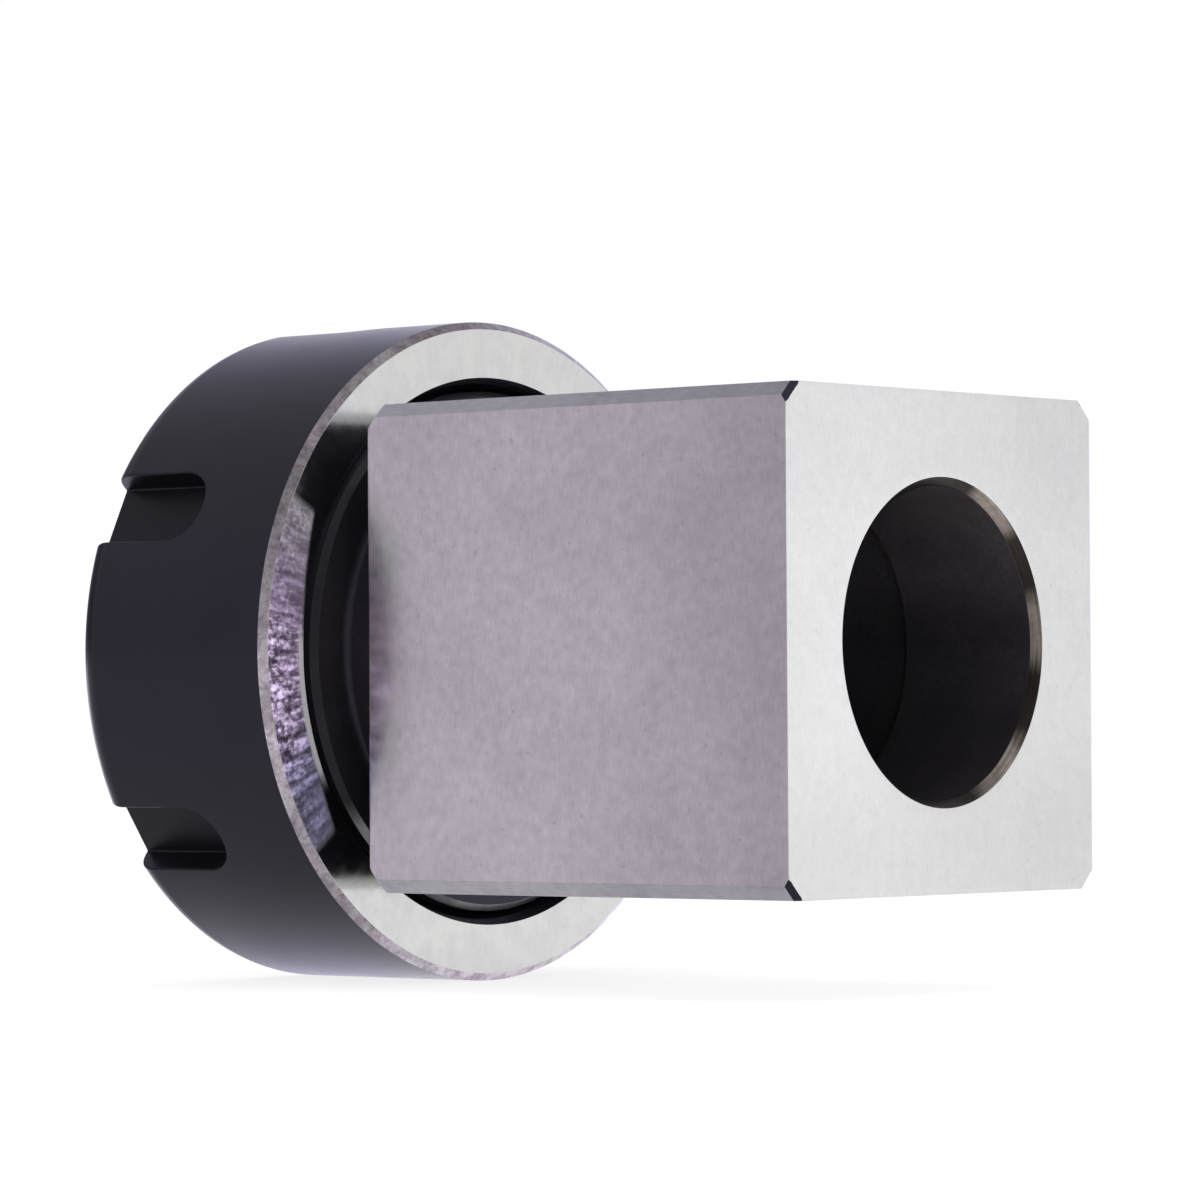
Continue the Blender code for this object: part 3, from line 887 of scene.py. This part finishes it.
def ground_ring(name):
    """The nut's rear ring: ground nearly to a mirror, with a heat-tinted sector of streaks and a
    painted highlight along part of its inner edge.

    The tinted sector is partly non-metallic, because it scatters light where the rest mirrors.
    """
    made, tree, shader = new_material(name, 1.0)
    _, radius, out_y, out_z = polar(tree)
    fine = maths(tree, "MULTIPLY", radius, 0.5)
    coarse = maths(tree, "MULTIPLY", radius, 0.28)
    marks = round_noise(tree, fine, out_y, out_z, around=60.0, detail=3.0)
    streaks = round_noise(tree, coarse, out_y, out_z, around=40.0, detail=3.0)
    stain = noise(tree, place_in_mm(tree), scale=0.4, detail=4.0, rough=0.65)
    bright = patchy(tree, stain, 0.4, 0.65, *RING_GREYS)
    bright = scaled(tree, bright, swing(tree, marks, 0.97, 1.03))

    height = maths(tree, "MULTIPLY_ADD", radius, out_z, -EDGE_MIDDLE)
    square = maths(tree, "MULTIPLY", height, height)
    edge = maths(tree, "MULTIPLY_ADD", square, -EDGE_BEND, radius)
    inside_edge = smooth(tree, edge, *TINT_START, 0.0, 1.0)
    tinted = maths(tree, "MULTIPLY", sector(tree, *RING_SECTOR), inside_edge)
    # A painted highlight along the ring's inner edge, in one sector
    brightened = smooth(tree, radius, *EDGE_HIGHLIGHT_TO, 1.0, 0.0)
    brightened = maths(tree, "MULTIPLY", sector(tree, *RING_EDGE_HIGHLIGHT), brightened)
    tint = between(tree, brightened, tint_colour(tree, radius, out_z, streaks), EDGE_HIGHLIGHT_COLOUR)
    tinted = maths(tree, "MAXIMUM", tinted, brightened)

    marked = swing(tree, marks, 0.14, 0.20)
    stained = spread(tree, stain, 0.4, 0.7, 0.0, 0.05)
    roughness = maths(tree, "ADD", marked, stained)
    roughness = maths(tree, "MULTIPLY_ADD", tinted, TINT_ROUGH, roughness)
    metallic = maths(tree, "MULTIPLY_ADD", tinted, -TINT_SCATTER, 1.0)
    relief = maths(tree, "MULTIPLY", streaks, tinted)
    relief = maths(tree, "MULTIPLY_ADD", relief, 8.0, marks)
    tree.links.new(between(tree, tinted, bright, tint), shader.inputs["Base Color"])
    tree.links.new(metallic, shader.inputs["Metallic"])
    tree.links.new(roughness, shader.inputs["Roughness"])
    tree.links.new(bump(tree, relief, depth=0.0006 * MM), shader.inputs["Normal"])
    return made


def turned_rim(name):
    """The bright chamfer round the nut's rear ring, rubbed and pitted, with painted shade towards
    its top and a painted highlight in one sector.
    """
    made, tree, shader = new_material(name, 1.0)
    _, _, _, out_z = polar(tree)
    marks = turning_marks(tree, along=8.0, around=4.0)
    patches = noise(tree, place_in_mm(tree), scale=0.5, detail=4.0, rough=0.65)
    pits = noise(tree, place_in_mm(tree), scale=1.7, rough=0.7)
    colour = patchy(tree, patches, 0.40, 0.60, *RIM_COLOURS)
    colour = scaled(tree, colour, swing(tree, marks, 0.85, 1.12))
    colour = scaled(tree, colour, spread(tree, pits, 0.38, 0.50, 0.72, 1.0))
    # Painted shade: darker towards the top
    colour = scaled(tree, colour, smooth(tree, out_z, 0.0, 0.55, 0.88, 0.48))
    # A painted highlight in one sector
    colour = between(tree, sector(tree, *RIM_HIGHLIGHT), colour, scaled(tree, colour, 1.35))
    relief = maths(tree, "MULTIPLY_ADD", pits, 3.0, marks)
    tree.links.new(colour, shader.inputs["Base Color"])
    tree.links.new(spread(tree, patches, 0.35, 0.65, 0.36, 0.24), shader.inputs["Roughness"])
    tree.links.new(bump(tree, relief, depth=0.0015 * MM), shader.inputs["Normal"])
    return made


def sectored_edge(name, dark, light, sectors):
    """An oxide edge, lighter in some sectors, with marks that run round it."""
    made, tree, shader = new_material(name, 1.0)
    marks = turning_marks(tree, along=9.0, around=2.0)
    patches = noise(tree, place_in_mm(tree), scale=0.6, detail=4.0, rough=0.65)
    brightened = sector(tree, *sectors[0])
    for place in sectors[1:]:
        brightened = maths(tree, "MAXIMUM", brightened, sector(tree, *place))
    brightened = maths(tree, "MULTIPLY_ADD", brightened, 0.80, 0.04)
    brightened = maths(tree, "MULTIPLY", brightened, spread(tree, patches, 0.3, 0.6, 0.55, 1.0))
    brightened = maths(tree, "MULTIPLY", brightened, spread(tree, marks, 0.3, 0.65, 0.25, 1.0))
    tree.links.new(between(tree, brightened, dark, light), shader.inputs["Base Color"])
    shader.inputs["Roughness"].default_value = EDGE_ROUGH
    tree.links.new(bump(tree, marks, depth=0.0012 * MM), shader.inputs["Normal"])
    return made


def build_block():
    flats = ground_steel(
        "ground_flats",
        dark=(0.69, 0.62, 0.715),
        light=(0.77, 0.70, 0.81),
        stretch=(6.0, 0.8, 0.8),
        grain_depth=0.0010 * MM,
        rough=0.2,
        fades=FLAT_PAINTED_SHADE,
    )
    end = ground_steel(
        "ground_end",
        dark=(0.725, 0.725, 0.735),
        light=(0.75, 0.75, 0.757),
        stretch=(1.5, 3.0, 1.5),
        grain_depth=0.0004 * MM,
        rough=0.26,
        fades=END_PAINTED_SHADE,
        contrast=0.4,
    )
    strips = ground_steel(
        "milled_strips",
        dark=(0.62, 0.60, 0.66),
        light=(0.71, 0.69, 0.75),
        stretch=(0.8, 5.0, 5.0),
        grain_depth=0.0012 * MM,
        rough=0.32,
        fades=STRIP_PAINTED_SHADE,
    )
    corners = black_oxide(
        "corner_oxide", dark=(0.006, 0.005, 0.006), light=(0.010, 0.009, 0.011), rough=0.12
    )
    oxide = black_oxide(
        "block_oxide", dark=(0.020, 0.018, 0.023), light=(0.030, 0.027, 0.034), rough=0.4
    )
    # The bore's fades are painted light, growing towards its top.
    bore = black_oxide(
        "bore_oxide",
        dark=(0.020, 0.018, 0.020),
        light=(0.028, 0.025, 0.027),
        rough=0.5,
        ior=1.4,
        fades=BORE_PAINTED_LIGHT,
    )
    # The bore edge's bright sectors are painted highlights.
    bore_edge = sectored_edge(
        "bore_edge", dark=(0.02, 0.016, 0.015), light=(0.50, 0.43, 0.39), sectors=BORE_HIGHLIGHTS
    )
    nose_edge = sectored_edge(
        "nose_edge", dark=(0.03, 0.028, 0.03), light=(0.42, 0.41, 0.43), sectors=NOSE_BRIGHT_SECTOR
    )
    mesh = block_mesh(flats, end, strips, corners, oxide, bore, bore_edge, nose_edge)
    block = new_object("collet_block", mesh)
    shade(block)
    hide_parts(BLOCK_NODE)
    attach(block, "block")


def build_nut():
    oxide = black_oxide(
        "nut_oxide", dark=(0.0030, 0.0026, 0.0050), light=(0.0050, 0.0044, 0.0080), rough=0.19
    )
    slots = black_oxide(
        "slot_oxide",
        dark=(0.0030, 0.0027, 0.0040),
        light=(0.0050, 0.0044, 0.0065),
        rough=0.4,
        ior=1.4,
    )
    mesh = nut_mesh(oxide, ground_ring("ground_ring"), turned_rim("turned_rim"))
    nut = new_object("slotted_nut", mesh)
    cut_slots(nut, slots)
    shade(nut)
    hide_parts(NUT_NODE)
    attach(nut, "nut")


def towards(tree, way, side, reach, to_low, to_high):
    """A value that goes from to_low to to_high as a way turns towards a side."""
    inputs = {0: way, 1: side}
    turned = wire(tree, "ShaderNodeVectorMath", inputs, operation="DOT_PRODUCT").outputs["Value"]
    return smooth(tree, turned, *reach, to_low, to_high)


def build_world():
    """White to the camera. Reflections see a bright wall, a dark side and a dim ceiling."""
    world = bpy.data.worlds.new("studio")
    bpy.context.scene.world = world
    world.use_nodes = True
    tree = world.node_tree
    way = wire(tree, "ShaderNodeTexCoord").outputs["Generated"]
    glossy = wire(tree, "ShaderNodeLightPath").outputs["Is Glossy Ray"]
    wall = towards(tree, way, BRIGHT_SIDE, BRIGHT_REACH, DIM_WALL, BRIGHT_WALL)
    darker = towards(tree, way, DARK_SIDE, DARK_REACH, 1.0, DARK_WALL)
    wall = maths(tree, "MULTIPLY", wall, darker)
    shade_by = towards(tree, way, CAMERA_SIDE, CAMERA_REACH, 0.0, CAMERA_SHADE)
    wall = maths(tree, "SUBTRACT", wall, shade_by)
    height = wire(tree, "ShaderNodeSeparateXYZ", {0: way}).outputs[2]
    lower = smooth(tree, height, *CEILING_REACH, 1.0, 0.0)
    room = maths(tree, "MULTIPLY_ADD", maths(tree, "SUBTRACT", wall, CEILING), lower, CEILING)
    dimmed = maths(tree, "MULTIPLY", maths(tree, "SUBTRACT", room, 1.0), glossy)
    bluish = towards(tree, way, FAR_SIDE, FAR_REACH, 0.0, 1.0)
    bluish = maths(tree, "MULTIPLY", bluish, glossy)
    back = tree.nodes["Background"]
    tree.links.new(between(tree, bluish, WHITE, FAR_TINT), back.inputs["Color"])
    tree.links.new(maths(tree, "ADD", dimmed, 1.0), back.inputs["Strength"])


def build_floor():
    """A white floor that keeps the object's shadow. Reflections see it dimmer in front."""
    made, tree, shader = new_material("floor", 0.0)
    shader.inputs["Base Color"].default_value = (FLOOR_GREY, FLOOR_GREY, FLOOR_GREY, 1)
    shader.inputs["Roughness"].default_value = 1.0
    shader.inputs["Specular IOR Level"].default_value = 0.0
    where = wire(tree, "ShaderNodeTexCoord").outputs["Object"]
    along, back, _ = wire(tree, "ShaderNodeSeparateXYZ", {0: where}).outputs
    glow = smooth(tree, back, *FLOOR_TURN, FLOOR_FRONT, FLOOR_BACK)
    path = wire(tree, "ShaderNodeLightPath").outputs
    bluish = smooth(tree, along, *TINT_END, 1.0, 0.0)
    bluish = maths(tree, "MULTIPLY", bluish, smooth(tree, back, *TINT_FRONT, 0.0, 1.0))
    bluish = maths(tree, "MULTIPLY", bluish, path["Is Glossy Ray"])
    seen = maths(tree, "MULTIPLY", path["Is Camera Ray"], FLOOR_WHITE)
    mirrored = maths(tree, "MULTIPLY", path["Is Glossy Ray"], glow)
    tree.links.new(between(tree, bluish, WHITE, FAR_TINT), shader.inputs["Emission Color"])
    tree.links.new(maths(tree, "ADD", seen, mirrored), shader.inputs["Emission Strength"])
    signs = ((-1, -1), (1, -1), (1, 1), (-1, 1))
    corners = [(x * FLOOR_HALF, y * FLOOR_HALF, nut_low.z) for x, y in signs]
    mesh = bpy.data.meshes.new("floor")
    mesh.from_pydata(corners, [], [(0, 1, 2, 3)])
    mesh.materials.append(made)
    new_object("floor", mesh)


def build_lamp():
    """A soft square lamp overhead that looks at the object."""
    lamp = bpy.data.lights.new("overhead", "AREA")
    lamp.size = LAMP_SIZE
    lamp.energy = LAMP_POWER
    made = new_object("overhead", lamp)
    made.location = LAMP_PLACE
    made.rotation_euler = (-Vector(LAMP_PLACE)).to_track_quat("-Z", "Y").to_euler()


def build_camera():
    lens = bpy.data.cameras.new("camera")
    lens.lens = CAMERA_LENS
    lens.sensor_width = CAMERA_SENSOR
    lens.clip_start, lens.clip_end = CAMERA_CLIP
    made = new_object("camera", lens)
    made.location = CAMERA_PLACE
    level = Euler((math.pi / 2 - CAMERA_ELEVATION, 0, CAMERA_AZIMUTH), "XYZ").to_matrix()
    roll = Euler((0, 0, CAMERA_ROLL), "XYZ").to_matrix()
    made.rotation_euler = (level @ roll).to_euler()
    bpy.context.scene.camera = made


bpy.context.scene.view_settings.view_transform = "Standard"
build_block()
build_nut()
build_world()
build_floor()
build_lamp()
build_camera()
